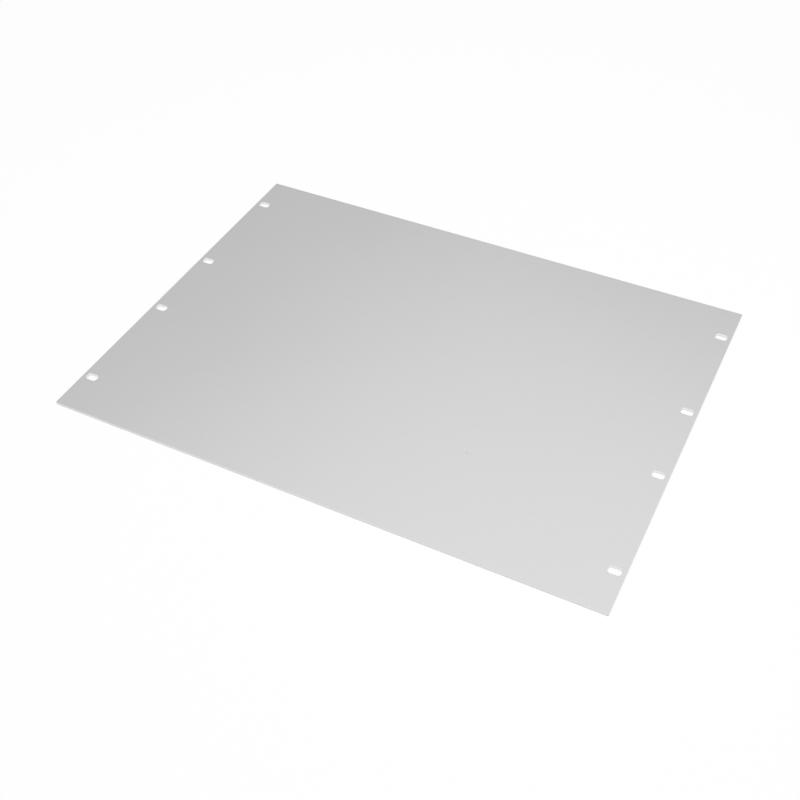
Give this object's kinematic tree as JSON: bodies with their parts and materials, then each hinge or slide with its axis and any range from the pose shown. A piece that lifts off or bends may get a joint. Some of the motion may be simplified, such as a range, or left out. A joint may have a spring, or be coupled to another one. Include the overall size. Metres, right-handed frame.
{
  "type": "rack blanking panel",
  "caption": "Flat sheet-metal blanking panel for a 19 inch rack, with four rounded fixing slots down each short side.",
  "frame": {"origin": "middle of the flat rear face, which the panel lies on", "axes": "+X along the panel's width, +Y up its height as mounted in a rack, +Z out of its front face"},
  "size_m": [0.4826, 0.3548, 0.0025],
  "materials": {
    "anodised_sheet": "satin clear anodised"
  },
  "bodies": {
    "root": {"blanking_panel": "anodised_sheet"}
  },
  "joints": []
}
